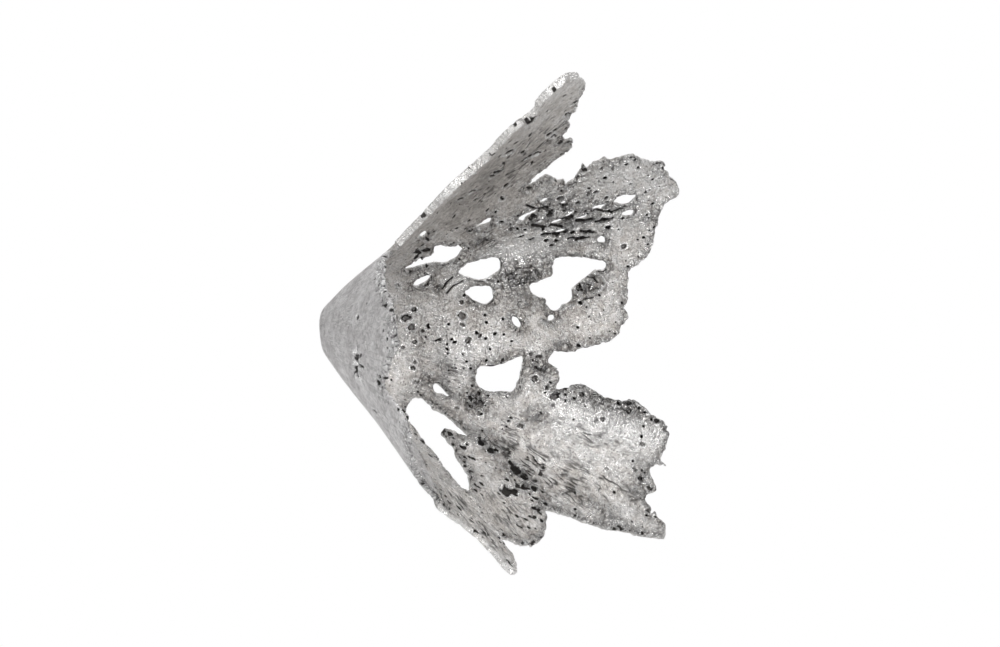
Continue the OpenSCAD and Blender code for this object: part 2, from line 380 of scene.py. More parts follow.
# Raised ridges and sunk grooves: places, width, height.
RIDGES = [
    ([(10.8, 127), (13.8, 125.8), (16.8, 127.4), (17.6, 131), (17, 136), (15.2, 140.4), (12.8, 141.6),
      (10.6, 139), (10, 136)], 1.5, 2.6),
    ([(12, 129.5), (15, 129.5), (15.6, 132.5), (14.8, 136.5), (12.8, 138.4)], 0.9, -1.6),
    ([(11, 132.5), (13, 131.4), (14, 133.6), (12.6, 135.8), (11.4, 134.4)], 0.9, 1.6),
    ([(8.4, 135.6), (8, 131), (7, 128)], 1, -1.2),
    ([(39.5, 128), (39.2, 132.5), (39.5, 136)], 1.2, -2.4),
    ([(36.2, 134.5), (34.8, 138), (34.5, 142)], 1.3, -2.6),
    ([(33.2, 143.5), (32.2, 148), (32.2, 152)], 1.3, -2.6),
    ([(38.8, 122.5), (36.2, 127)], 1.2, -2.2),
    ([(35.8, 119.5), (35, 124.5), (33.5, 128)], 1.2, -2.2),
    ([(32, 135), (29.8, 141)], 1.2, -2),
    ([(37.2, 145), (34.2, 152), (34, 158)], 1, -1.8),
    ([(31, 129.5), (29.2, 134), (28.8, 138)], 1, -1.8),
    ([(53, 116.5), (48.5, 120), (47.2, 124.5)], 1.2, -2),
    ([(42.2, 114), (39.2, 119.5)], 1.2, -2.2),
    ([(38.2, 130), (37.8, 134.5), (38, 139)], 0.9, 1),
    ([(34.6, 145), (33.6, 150), (33.4, 155)], 0.9, 1),
    ([(-117, 97), (-115.5, 101.5), (-114.6, 105), (-112.8, 108), (-111.6, 111)], 1.1, -2.2),
    ([(22, 96), (25, 101), (23, 107), (18, 109)], 1.2, 1.6),
    ([(27, 60), (30, 62), (34, 66)], 1, 1.4),
    ([(27, 62.5), (30.5, 65), (33, 69)], 0.9, -1.6),
    ([(23, 64), (27, 68), (28, 73)], 0.9, -1.3),
]

# Seams between petals, and the area of each petal. Past the rims these areas run out into the open.
SEAM_STRIP_INNER = [(-93.5, 107), (-95.3, 125), (-95.3, 142)]
SEAM_INNER_REAR = [(-60.5, 86), (-60, 98), (-61, 116), (-65, 124), (-68, 136)]
SEAM_REAR_MIDDLE = [(-50, 25), (-48, 42), (-44, 63), (-38, 68), (-31, 84), (-16, 98), (-14.3, 113)]
SEAM_MIDDLE_BRIDGE = [(8, 118), (9.6, 111), (8.5, 101), (11, 94), (13.5, 84), (21, 82), (28, 80)]
SEAM_MIDDLE_UPPER = [(37, 74), (41, 60), (41, 40), (41, 25)]
SEAM_BRIDGE_UPPER = [(33, 92), (32, 101), (28, 108), (24.7, 121), (18, 130)]
SEAM_UPPER_SIDE = [(51.5, 150), (50.5, 134), (51, 125), (48.3, 117), (48, 110), (52, 103), (55.5, 96)]
SEAM_UPPER_TOP = [(66, 25), (64, 40), (60, 54), (57.5, 74), (59.5, 89)]
SEAM_SIDE_TOP = [(59.3, 96), (60.5, 108), (61.2, 121)]
TERRITORIES = {
    "lower_front_petal": [(-84, 60), (-88, 80)] + SEAM_STRIP_INNER
                         + [(-97, 200), (-126, 200), (-121, 125), (-115, 112), (-103, 84)],
    "lower_inner_petal": [(-72, 70)] + SEAM_INNER_REAR + [(-68, 200), (-97, 200)] + SEAM_STRIP_INNER[::-1]
                         + [(-88, 90)],
    "lower_rear_petal": [(-84, 25), (-84, 60), (-72, 70)] + SEAM_INNER_REAR + [(-68, 230), (-14, 230)]
                        + SEAM_REAR_MIDDLE[::-1],
    "middle_rear_petal": SEAM_REAR_MIDDLE + [(-14, 200), (15.2, 200), (15.2, 155), (18, 142)]
                         + SEAM_MIDDLE_BRIDGE + SEAM_MIDDLE_UPPER,
    "rear_bridge": SEAM_MIDDLE_BRIDGE + SEAM_BRIDGE_UPPER,
    "upper_rear_petal": SEAM_MIDDLE_UPPER[::-1] + [(28, 80)] + SEAM_BRIDGE_UPPER
                        + [(18, 142), (15.2, 155), (15.2, 220), (60, 220)]
                        + SEAM_UPPER_SIDE + SEAM_UPPER_TOP[::-1],
    "upper_side_petal": SEAM_UPPER_SIDE + SEAM_SIDE_TOP + [(61.2, 150)],
    "top_petal": SEAM_UPPER_TOP + SEAM_SIDE_TOP + [(61.2, 220), (125, 260), (122, 90), (108, 71), (108, 25)],
}

# Craters of the inner skin: angle, radius, diameter, depth, then length over width and tilt where needed.
CRATERS = [
    # pocked rear wall
    (9.5, 43, 6.5, 2.6, 1.3), (0, 45, 5, 2.4, 1.2), (16.5, 47, 3.6, 2, 1.3), (-3.5, 50.5, 3.4, 2),
    (-0.5, 53.5, 2.6, 1.6), (-47, 53, 4.5, 2.4, 1.2, 40), (-36, 49, 3.6, 1.8, 1.3), (-31, 49, 3.2, 1.6),
    (-20, 41.5, 3.4, 1.6), (-13, 47, 3.6, 1.5, 1.2), (49, 43.5, 6.5, 2.4, 0.4),
    (-8.5, 73, 4.8, 1.8, 1.1, 90), (1, 70, 4.2, 1.9), (6.7, 70, 6.4, 2.2, 0.95, 20), (-4.3, 90.5, 2.6, 1.5),
    (3, 90, 3, 1.4, 1, 80), (-4, 86, 2.8, 1.5, 1, 60), (2, 81.5, 2.4, 1.3), (6, 81, 3, 1.3, 1, 90),
    (-6.6, 81.5, 2.6, 1.5, 1.2, 30), (-5.5, 78.5, 3.2, 1.7, 1.3, 50), (-4, 76.8, 3, 1.6),
    (-10, 66.5, 2.6, 1.6, 1.6, 30), (-8.4, 65, 2.6, 1.6), (1.5, 63, 2.4, 1.4, 1.4, 60), (-12, 84, 2.8, 1.3),
    (15, 70.5, 3.6, 1.6, 1.2, 20), (-7.2, 94.5, 2.4, 1.2), (-9, 59, 3.2, 1.6), (-17, 71, 2, 1.2),
    (-21, 73.5, 2, 1.4), (-25, 73, 2, 1.4), (-22.5, 76, 1.8, 1.2), (-26.5, 69, 2, 1.2), (-18, 64, 2.2, 1.4),
    (-29, 66, 2, 1.2),
    # middle petal
    (-5, 133.5, 1.8, 1.4), (-2.8, 133.5, 1.4, 1.2), (2.2, 133, 1.8, 1.2), (5.3, 132, 1.8, 1.2),
    (7, 129, 3, 1.8, 1, 50), (12, 129, 4.6, 2.2, 1.3, 80), (9, 138.5, 2.6, 1.4),
    (12.5, 140.5, 3.2, 1.4, 0.6), (-1.5, 127.5, 2.8, 0.8), (12.3, 145.5, 1.6, 1.2),
    (4, 140.5, 2.8, 0.9, 0.4),
    # lower rear petal
    (-48.7, 182, 4, 3.2), (-43, 178, 5, 3, 1, 30), (-41.6, 173, 5.2, 3.4), (-40, 168, 3.4, 2.2, 1.2),
    (-38, 166, 2.6, 1.8), (-32.5, 168.5, 4.6, 2.4), (-30.6, 167, 3, 2), (-27, 178, 4, 2.6, 1.5, 10),
    (-25.5, 173, 4, 2.4, 1.4), (-25, 158, 4, 2.4), (-23.4, 162.5, 2.8, 2), (-23, 157, 4, 2.2),
    (-23.6, 152, 3.2, 2), (-29.5, 146, 4, 2.2), (-30.6, 143, 3.2, 1.8), (-23.5, 133, 5, 2.4),
    (-26.5, 120, 5, 3.2, 1.6, 20), (-24, 115.5, 4.6, 3, 0.7), (-22, 108.5, 5, 3, 0.9),
    (-42.7, 108, 4.4, 2.8, 1.3, 30), (-41, 102.5, 3.2, 2), (-43, 101.5, 2.6, 1.8),
    (-39.4, 86, 4.6, 2.8, 1.2), (-36, 83.5, 4.4, 2.8, 1, 60), (-40, 80, 3.8, 2.2), (-45, 82, 4.4, 2.2),
    (-35.5, 88, 3.2, 2), (-46, 87, 4.6, 1.6), (-50, 76, 3.6, 1.6), (-52, 138, 3.8, 1.3, 0.7, 30),
    (-43.5, 155, 3.4, 1, 1.2), (-57, 173, 3.6, 2.2, 1.6), (-55, 184, 3, 2), (-24, 166, 2.4, 1.8),
    (-30, 120, 3.2, 1.6), (-17.5, 108, 4.2, 1.8), (-18, 113, 4, 1.2), (-13, 109, 4.4, 2.6),
    (-12, 105, 3.6, 2),
    # crevices beside the lower inner petal
    (-72.5, 119, 8, 3.4, 0.8, 30), (-70, 121.5, 5, 3, 1, 40), (-65, 124.5, 7.5, 3.4, 0.9, -20),
    (-63, 128, 5, 3, 1.2, -20), (-61, 116, 7.5, 3.4, 1.4, 20), (-60, 112, 5, 3), (-61.5, 121, 5.5, 3, 1.2),
    (-60.5, 95, 5.5, 3.2, 1.4, 20), (-60.6, 101, 6.5, 3.4, 1, 30), (-58.8, 103, 3.6, 2.4, 1.2),
    (98.6, 163, 7, 2.6, 0.8), (-66, 137, 3.4, 2.2, 1.4), (-92, 136.5, 3.4, 2.2), (-81.7, 135, 2.2, 1.5),
    (-73.5, 137, 2.6, 1.4), (-70.3, 134, 3, 1.8, 0.8), (-78.5, 131, 2.2, 1.2), (-69.5, 89.5, 3.6, 2),
    (-66.5, 90, 3.2, 1.6), (-70, 136, 2.4, 1.5), (-66, 128, 3, 2), (-68, 131, 3, 1.6),
    # upper rear petal
    (32.8, 147.5, 5, 3, 2, -15), (29.5, 148.2, 4.2, 2.6), (31, 138, 3.4, 2.4, 2.2, -10),
    (34, 123.2, 3.4, 2.4, 2.4, -12), (29.8, 134, 2.6, 1.8, 3, -10), (33.6, 117.5, 2.4, 1.4, 2),
    (43, 138.5, 4.4, 2.6), (44.8, 125, 4.2, 2.6, 1.4, -20), (39.8, 107, 2.2, 1.4, 3),
    (36.8, 111, 2.2, 1.2, 3, 10), (35.8, 171, 1.6, 1.2, 2), (52.8, 149, 4.2, 2.4), (46, 104.2, 4, 2.2, 1.4),
    (51.8, 101.8, 4, 2.2, 1.2), (30.8, 119.5, 2, 1.2, 2.4), (40.5, 183.2, 3, 1.8), (44, 132, 4, 2.6, 0.7),
    (42.4, 131, 2.4, 1.8), (48, 132, 4.2, 2.8, 1.2), (39.8, 152, 2.8, 2.2, 1.4),
    (43.6, 148.5, 3.2, 2.4, 1.3), (44.2, 145, 4.6, 2.6, 0.8), (40.3, 146, 3.4, 2), (46.5, 155.5, 3, 2.2),
    (46.2, 152, 3.6, 2, 0.6), (50.5, 156, 3.4, 2.2, 0.8), (48.5, 161, 5, 2.4, 0.5), (44, 158.3, 2.2, 1.8),
    (40.6, 165.3, 2.4, 2), (35.8, 178, 1.9, 1.6), (36.1, 173, 1.8, 1.5), (44.6, 172, 3.6, 2.4, 0.8),
    (47.6, 167.5, 2.8, 2.2, 1.2), (40.5, 174.8, 2, 1.4), (31.8, 172.5, 2.2, 1.8, 1.7),
    (28.5, 169.5, 2.6, 2), (21, 166, 2.4, 1.8), (24.6, 168, 2.4, 1.6, 0.7), (22.3, 154, 4, 1.8, 1.3, 10),
    (33, 131, 3, 1.8, 1.5), (32.5, 122, 3.6, 1.4, 0.8), (42.5, 114.5, 4, 2, 0.7), (38.7, 118, 2.6, 1.6),
    (48, 123.5, 3.4, 2.2, 0.9), (52, 122.3, 2.8, 2, 0.7), (48.5, 105, 3.2, 1.4, 0.6),
    (44.5, 107, 2.8, 1.2, 0.8), (55, 102, 3.2, 1.6, 0.9), (34, 152, 2.2, 1.4), (28, 153, 2, 1.2),
    (29.5, 131.5, 2.6, 1.4, 1.4), (36.2, 171, 1.4, 1),
    # top petal
    (75, 139, 5.6, 2.6, 0.45, 35), (76.7, 136.5, 6, 2.4, 0.5, 25), (90.3, 138, 6.5, 3, 0.75, 20),
    (77.3, 152, 3.4, 2.4), (80.3, 152, 4, 2.6, 0.8), (82.4, 166, 3.2, 2.6, 0.9),
    (84.5, 174, 3.4, 3, 1.9, -30), (82.8, 122.3, 4.8, 2, 0.45, 10), (82.7, 119, 4, 1.8, 0.45, 10),
    (84.3, 107.2, 5, 2.4, 0.6, 20), (86, 100.8, 4.2, 2, 0.5, 15), (77, 103, 3, 1.4, 0.8),
    (64.3, 110, 4.6, 2.2, 0.4, -10), (69, 85, 2.8, 1.2, 0.7), (71.3, 134, 3.2, 1.5, 0.6),
    (80, 155.7, 2.8, 1.2, 0.8), (59.8, 87.5, 4.4, 1.8, 0.5, 10), (86, 128.3, 5, 1.3, 0.3, 20),
    (93, 145.5, 3, 1, 0.6, 30), (68, 66, 6, 1.6, 0.5), (72, 63, 6.5, 1.8, 0.45, 10),
    (77, 72.5, 6, 1.8, 0.35), (60, 103, 5, 1.2, 0.6), (62, 122.5, 3, 1.4), (79.5, 162, 2.4, 1.6, 0.7),
    (90, 112, 3, 0.9, 0.4, 20),
]


def patches(sheet, spots):
    """The strongest of a list of soft patches: angle, radius, angle size, radius size, strength."""
    total = np.zeros(sheet.x.shape)
    for angle, radius, angle_size, radius_size, strength in spots:
        total = np.maximum(total, strength * sheet.patch(angle, radius, angle_size, radius_size))
    return total


# Where the skin is folded and lumpy, where flow lines show, where it is smooth, and where the metal is
# lighter or darker: partly clean and stained metal, partly painted highlight and painted shade.
LUMPY = [(-36, 114, 5, 8, 0.7), (-23.5, 142, 4, 22, 0.8), (-23, 124, 4, 12, 0.9), (-43, 174, 7, 8, 1),
         (38, 130, 12, 22, 0.9), (-58, 96, 6, 16, 0.9), (21, 102, 12, 17, 1), (-41, 82, 9, 10, 1),
         (-63, 118, 6, 14, 0.9), (12, 133, 5, 7, 0.9), (-23.5, 150, 4.5, 34, 1), (-44, 178, 5, 5, 0.9),
         (-17, 110, 6, 9, 1), (47, 112, 7, 12, 1), (-9, 121, 4, 8, 0.9), (-8, 56, 10, 10, 0.4),
         (10, 102, 5, 9, 0.7), (47, 88, 7, 8, 0.9), (29, 61, 6, 4, 1), (-42, 58, 10, 7, 0.8),
         (-12, 50, 24, 7, 0.35), (61, 100, 3, 7, 0.7), (-27, 63, 6, 7, 0.7), (42, 140, 6, 12, 0.6),
         (-67, 136, 7, 5, 0.8), (-116, 112, 8, 16, 1), (72, 66, 12, 6, 0.6), (28, 172, 8, 5, 0.6),
         (43, 180, 7, 6, 0.6), (-56, 166, 3, 26, 0.7), (-80, 146, 10, 5, 0.5), (104, 130, 3, 30, 0.5)]
LINED = [(-56, 125, 11, 40, 1), (-47, 155, 9, 30, 0.8), (-82, 128, 12, 22, 0.7), (80, 130, 18, 60, 0.8),
         (-102, 125, 6, 30, 1), (45, 125, 12, 28, 0.8), (33, 128, 8, 18, 0.7), (-30, 66, 16, 14, 0.6),
         (-64, 176, 6, 22, 0.8), (-46, 105, 12, 14, 0.6), (45, 92, 10, 12, 0.8), (10, 100, 8, 9, 0.6),
         (-36, 145, 6, 30, 0.7), (34, 100, 6, 22, 0.5)]
SMOOTH = [(28, 72, 8, 5, 0.95), (35, 103, 5, 24, 0.75), (2, 140, 5, 11, 0.6), (33, 186, 5, 6, 0.5),
          (-42, 158, 4, 22, 0.5), (45, 178, 3, 8, 0.4), (4, 60, 8, 8, 0.4), (-50, 90, 4, 6, 0.3)]
# The first list lightens the metal, partly as clean metal and partly as a painted highlight, as on the lower
# rear petal's bright band. The second darkens it, partly as stains and partly as painted shade, as on the top
# petal's downward-facing inner face.
CLEAN_AND_LIT = [(33, 96, 8, 32, 1.5), (28, 72, 9, 8, 1.4), (-20, 70, 14, 14, 1.1), (-29, 150, 9, 36, 1.5),
         (45, 150, 12, 30, 0.6), (36, 146, 6, 28, 0.9), (-2, 90, 16, 20, 0.3), (-33, 140, 6, 30, 1),
         (-27, 165, 7, 20, 0.9), (-24, 72, 9, 9, 0.9), (-40, 150, 7, 25, 0.5), (-12, 112, 6, 8, 0.5),
         (-56, 172, 5, 20, 0.5), (30, 182, 8, 8, 0.4), (-104, 150, 4, 20, 0.7), (-27, 40, 14, 10, 0.5)]
STAINED_AND_SHADED = [(6, 90, 14, 10, 0.3), (8, 76, 14, 16, 0.75), (2, 110, 18, 40, 0.7), (8, 125, 6, 20, 0.4),
           (0, 140, 10, 14, 0.3), (-112, 130, 9, 50, 0.4), (-52, 140, 7, 40, 0.4), (82, 115, 26, 48, 1.9),
           (70, 70, 22, 18, 1), (50, 92, 6, 20, 0.5), (-56, 100, 12, 26, 0.4), (-84, 115, 12, 26, 0.4),
           (21, 102, 12, 16, 0.5), (30, 60, 12, 8, 0.6), (-110, 100, 8, 24, 0.7), (-41, 82, 9, 10, 0.6),
           (5, 60, 10, 8, 0.3), (-16, 110, 6, 9, 0.5), (85, 160, 16, 20, 0.5)]


def folds(x, y, size, seed):
    """Curled folds: 0 along their dark creases, rising to 1 between them."""
    warp_x = size * 0.9 * noise(x, y, size * 1.7, seed + 1)
    warp_y = size * 0.9 * noise(x, y, size * 1.7, seed + 2)
    return np.clip(np.abs(noise(x + warp_x, y + warp_y, size, seed)) * 2.6, 0, 1)


def roughen(sheet, grain, lined, calm):
    """Adds the casting's own texture to both skins: flow lines, lumps, curled folds and slow waves, with
    painted shade in the fold creases and the flow-line grooves.
    """
    x, y, a = sheet.x, sheet.y, sheet.angle
    along = np.hypot(x, y)
    across = np.radians(a) * FLOW_R * SIN
    warp = 2.0 * noise(x, y, 9.0, 60)
    streaks = noise(along / 12.0, (across + warp) / 1.8, 1.0, 61)
    streaks = streaks + 0.6 * noise(along / 6.0, (across + warp) / 1.1, 1.0, 62)
    lumps = cloud(x, y, 12.0, 63, 3)
    wide, narrow = folds(x, y, 5.2, 65), folds(x, y, 2.9, 66)
    some = np.clip(noise(x, y, 7.0, 69) * 1.6 + 0.75, 0, 1)
    stroke_u = (along + 2 * noise(x, y, 5.0, 72)) / 5.0
    stroke_v = (across + 1.2 * noise(x, y, 4.0, 73)) / 1.5
    stroke = noise(stroke_u, stroke_v, 1.0, 71)
    strokes = np.clip((stroke - 0.42) * 4, 0, 1) * np.clip(noise(x, y, 9.0, 74) * 2 + 0.5, 0, 1)
    fine = noise(x, y, 1.7, 68)
    quiet = 1 - 0.8 * calm
    relief = 0.22 * streaks * (0.35 + lined) + (0.35 + 0.4 * grain) * lumps * quiet
    relief += grain * some * (1.5 * (wide - 0.6) + 0.8 * (narrow - 0.6)) + 0.24 * fine * (0.5 + grain) * quiet
    relief -= 0.7 * strokes * lined * quiet
    sheet.inner += relief
    sheet.outer -= 0.5 * relief
    # Painted shade in the creases of the folds and in the grooves of the flow lines, half as strong on the
    # outer skin.
    crease = np.maximum(np.clip(1 - wide * 2.6, 0, 1), 0.8 * np.clip(1 - narrow * 2.6, 0, 1))
    crease_shade = np.maximum(0.7 * np.clip(grain * 1.3, 0, 1) * some * crease, 0.7 * lined * strokes * quiet)
    sheet.pit_shade_in = np.maximum(sheet.pit_shade_in, crease_shade)
    sheet.pit_shade_out = np.maximum(sheet.pit_shade_out, 0.5 * crease_shade)
    waves = 1.5 * noise(x, y, 46.0, 75) + 0.9 * noise(x, y, 22.0, 76)
    waves *= np.clip((sheet.radius - 55) / 40, 0, 1)
    waves *= np.clip((106 - a) / 12, 0, 1) * np.clip((a + 114) / 10, 0, 1)
    sheet.inner += waves
    sheet.outer += waves


def scatter(sheet, grain, count, seed):
    """Random small craters on both skins, thicker where the grain is strong."""
    rng = np.random.default_rng(seed)
    nx, ny = sheet.x.shape
    made = 0
    while made < count:
        i, j = int(rng.integers(0, nx)), int(rng.integers(0, ny))
        size = 1.0 + 1.8 * rng.random() ** 3
        depth = size * (0.35 + 0.4 * rng.random())
        lip = 0.12 + 0.2 * rng.random()
        long = 0.7 + 0.8 * rng.random()
        tilt = rng.random() * 3.1
        keep = rng.random()
        outside = rng.random() < 0.35
        if sheet.metal[i, j] < 0.5:
            continue
        made += 1
        steep = sheet.angle[i, j] > 62 or sheet.angle[i, j] < -66
        if keep > (0.17 if steep else 0.05) + 0.5 * grain[i, j]:
            continue
        if steep:
            size, long, tilt, lip = 1.5 * size, 0.8 + 0.7 * long, 0.3, 0.0
        sheet.crater_at(sheet.x[i, j], sheet.y[i, j], size, depth, long, tilt, lip, 0.85, outside)


def blurred(values, reach):
    """Values averaged over a square of the given half width, in lattice steps, twice."""
    for _ in range(2):
        for axis in (0, 1):
            pad = [(0, 0), (0, 0)]
            pad[axis] = (reach + 1, reach)
            total = np.cumsum(np.pad(values, pad, mode="edge"), axis)
            n = total.shape[axis]
            high = np.take(total, range(2 * reach + 1, n), axis)
            low = np.take(total, range(0, n - 2 * reach - 1), axis)
            values = (high - low) / (2 * reach + 1)
    return values


def standing(sheet):
    """How far each skin stands above its surroundings, -1 in a hollow to 1 on a crest."""
    reach = max(1, round(1.5 / sheet.step))
    inside = sheet.inner - blurred(sheet.inner, reach)
    outside = blurred(sheet.outer, reach) - sheet.outer
    return np.clip(inside / 0.55, -1, 1), np.clip(outside / 0.55, -1, 1)


def far_sheet():
    """The sheet of all the petals, from the strip round the far side to the top petal."""
    sheet = Sheet(0.0, FAR_LOW, FAR_HIGH, STEP)
    rims = RIM_STRIP + RIM_INNER + RIM_LOWER_REAR + RIM_MIDDLE + RIM_UPPER + RIM_SIDE + RIM_TOP
    root = [(angle, 26) for angle in range(120, -127, -8)]
    outline = smooth_outline([sheet.place(*p) for p in rims + root], 1)
    x, y = sheet.x, sheet.y
    ragged = 0.9 * cloud(x, y, 5.5, 21) + 0.45 * noise(x, y, 1.9, 25)
    sheet.metal = inside_distance(x, y, outline) + ragged * np.clip((sheet.radius - 60) / 25, 0, 1)
    for places in HOLES.values():
        sheet.cut(places, 0.45)
    for angle, radius, width, length, tilt in SLITS:
        sheet.slit(angle, radius, width, length, tilt)
    near_rim = np.exp(-np.clip(sheet.metal, 0, 99) ** 2 / 40)
    calm = patches(sheet, SMOOTH)
    face_on = np.clip((92 - sheet.angle) / 6, 0.12, 1) * np.clip((sheet.angle + 102) / 5, 0.35, 1)
    grain = np.clip(np.maximum(patches(sheet, LUMPY), 0.75 * near_rim * face_on) * (1 - calm), 0, 1)
    lined = patches(sheet, LINED) * (1 - calm)
    roughen(sheet, grain, lined, calm)
    for angle, radius, size, depth, *shape in CRATERS:
        ringed = size >= 3.2 and -56 < angle < 58
        steep = angle > 62 or angle < -68
        size *= 1.6 if steep else 1.0
        depth *= 0.8 if ringed else 1.0
        sheet.crater(angle, radius, size, depth, *shape, lip=0.05 if steep else 0.7, dark=0.92, ringed=ringed)
    # Painted shade under the slits' lips, pressed in as shallow craters.
    for angle, radius, size, long in LENSES:
        sheet.crater(angle, radius, size, 2.6, long, -16, lip=0.5, dark=0.75)
    for places, width, height in RIDGES:
        sheet.ridge(places, width, height)
    scatter(sheet, grain, FAR_PITS, 5)
    thick_edge = 2.0 * np.exp(-np.clip(sheet.metal, 0, 99) ** 2 / 30) * np.clip((sheet.angle - 92) / 6, 0, 1)
    sheet.outer -= thick_edge * np.clip((sheet.radius - 66) / 14, 0, 1)
    # Tone: clean and stained metal, with a painted highlight and painted shade among them.
    sheet.tone = patches(sheet, CLEAN_AND_LIT) - patches(sheet, STAINED_AND_SHADED)
    sheet.lined = lined
    sheet.grain = grain
    sheet.face_on = face_on
    # Cut edges get a painted highlight, weighted most where they face the camera.
    sheet.bare = np.clip(1.15 - face_on, 0.3, 1)
    # Painted shade: a thin dark line along the cut edges of holes and rims, on the petals seen face on.
    outline = np.clip(1 - np.abs(sheet.metal - 0.5) / 1.1, 0, 1) * np.clip(0.75 + noise(x, y, 3.5, 77), 0, 1)
    sheet.pit_shade_in = np.maximum(sheet.pit_shade_in, 0.75 * outline * np.clip(1.4 * face_on - 0.4, 0, 1))
    thin = sheet.inner - sheet.outer < 1.2
    sheet.inner = np.where(thin, sheet.outer + 1.2, sheet.inner)
    return sheet


# ---------------------------------------------------------------- solids
def level_mesh(field, low, step):
    """Closed quad mesh of the surface where field is zero, negative inside. Returns points and quads."""
    inside = field < 0
    shape = np.array(field.shape) - 1
    near = np.zeros(shape, np.int8)
    corners = [(a, b, c) for a in (0, 1) for b in (0, 1) for c in (0, 1)]
    for a, b, c in corners:
        near += inside[a:a + shape[0], b:b + shape[1], c:c + shape[2]]
    cell = np.argwhere((near > 0) & (near < 8))
    number = np.full(shape, -1, np.int64)
    number[tuple(cell.T)] = np.arange(len(cell))
    total = np.zeros((len(cell), 3))
    hits = np.zeros(len(cell))
    for a in corners:
        for axis in range(3):
            if a[axis]:
                continue
            b = list(a)
            b[axis] = 1
            fa = field[tuple((cell + a).T)]
            fb = field[tuple((cell + b).T)]
            cross = (fa < 0) != (fb < 0)
            t = np.where(cross, fa / np.where(cross, fa - fb, 1), 0)
            point = np.array(a, float) + t[:, None] * (np.array(b) - np.array(a))
            total += point * cross[:, None]
            hits += cross
    points = np.array(low) + (cell + total / hits[:, None]) * np.array(step)
    quads = []
    for axis in range(3):
        u, v = (axis + 1) % 3, (axis + 2) % 3
        here = [slice(None)] * 3
        there = [slice(None)] * 3
        here[axis], there[axis] = slice(0, -1), slice(1, None)
        change = np.argwhere(inside[tuple(here)] != inside[tuple(there)])
        good = (change[:, u] > 0) & (change[:, v] > 0) & (change[:, u] < shape[u]) & (change[:, v] < shape[v])
        change = change[good]
        ring = []
        for du, dv in ((-1, -1), (0, -1), (0, 0), (-1, 0)):
            c = change.copy()
            c[:, u] += du
            c[:, v] += dv
            ring.append(number[tuple(c.T)])
        quad = np.stack(ring, 1)
        first_inside = inside[tuple(change.T)]
        quad[~first_inside] = quad[~first_inside][:, ::-1]
        quads.append(quad)
    quads = np.concatenate(quads)
    return points, quads[(quads >= 0).all(1)]


def mesh_piece(name, points, quads, looks):
    """Blender object from points in millimetres, with the looks of the skin as attributes."""
    low = np.array(cad_box[0]) * 1000
    high = np.array(cad_box[1]) * 1000
    points = np.clip(points, low, high)
    mesh = bpy.data.meshes.new(name)
    mesh.vertices.add(len(points))
    mesh.vertices.foreach_set("co", (points / 1000).astype(np.float32).ravel())
    mesh.loops.add(quads.size)
    mesh.loops.foreach_set("vertex_index", quads.astype(np.int32).ravel())
    mesh.polygons.add(len(quads))
    mesh.polygons.foreach_set("loop_start", np.arange(0, quads.size, 4, dtype=np.int32))
    mesh.polygons.foreach_set("use_smooth", np.ones(len(quads), bool))
    mesh.update(calc_edges=True)
    mesh.validate()
    for label, values in looks.items():
        wide = values.ndim == 2
        attribute = mesh.attributes.new(label, "FLOAT_VECTOR" if wide else "FLOAT", "POINT")
        attribute.data.foreach_set("vector" if wide else "value", values.astype(np.float32).ravel())
    piece = bpy.data.objects.new(name, mesh)
    bpy.context.scene.collection.objects.link(piece)
    return piece


def largest_part(points, quads):
    """Drops loose crumbs: keeps the parts of the mesh with at least a twentieth of its points."""
    label = np.arange(len(points))
    for _ in range(400):
        lowest = label[quads].min(1)
        new = label.copy()
        for k in range(4):
            np.minimum.at(new, quads[:, k], lowest)
        new = new[new]
        if (new == label).all():
            break
        label = new
    names, counts = np.unique(label, return_counts=True)
    keep = np.isin(label, names[counts >= len(points) / 20])
    index = np.cumsum(keep) - 1
    return keep, index[quads[keep[quads].all(1)]]


def wall_field(metal, inner, outer, inward):
    """Distance from the wall between two skins with a rounded rim, negative inside."""
    half = (inner - outer) / 2
    edge = np.minimum(RIM_ROUND, np.maximum(half - 0.15, 0.1))
    q1 = np.abs(inward - (inner + outer) / 2) - half + edge
    q2 = edge - metal
    return np.minimum(np.maximum(q1, q2), 0) + np.hypot(np.maximum(q1, 0), np.maximum(q2, 0)) - edge


def petal(sheet, crests, node):
    """Cuts one petal out of the sheet and rolls it onto the funnel."""
    area = np.array([sheet.place(*p) for p in TERRITORIES[node]])
    own = inside_distance(sheet.x, sheet.y, area) + SEAM_OVERLAP
    own = np.minimum(own, sheet.radius - CUP_R + SEAM_OVERLAP)
    used = np.argwhere((sheet.metal > -2) & (own > -2))
    (i0, j0), (i1, j1) = used.min(0), used.max(0) + 1
    w = slice(i0, i1), slice(j0, j1)
    depths = np.arange(-SKIN_ROOM, WALL + SKIN_ROOM + 0.5, STEP)
    inward = depths[None, None, :]
    maps = [m[w][:, :, None] for m in (sheet.metal, sheet.inner, sheet.outer)]
    shape = wall_field(*maps, inward)
    x, y, z = np.broadcast_arrays(sheet.x[w][:, :, None], sheet.y[w][:, :, None], inward)
    close = (np.abs(shape) < 2.5) & (maps[0] < 5)
    face_on = np.broadcast_to(sheet.face_on[w][:, :, None], x.shape)
    shape[close] += 0.36 * face_on[close] * noise(x[close], y[close], 2.6, 95, z[close])
    field = np.maximum(shape, -own[w][:, :, None])
    field[[0, -1]] = 1
    field[:, [0, -1]] = 1
    field[:, :, [0, -1]] = 1
    low = (sheet.x[i0, j0], sheet.y[i0, j0], depths[0])
    points, quads = level_mesh(field.astype(np.float64), low, (STEP, STEP, STEP))
    keep, quads = largest_part(points, quads)
    points = points[keep]
    looks = skin_looks(sheet, crests, *points.T)
    return mesh_piece("cast_" + node, roll(*points.T), quads, looks)


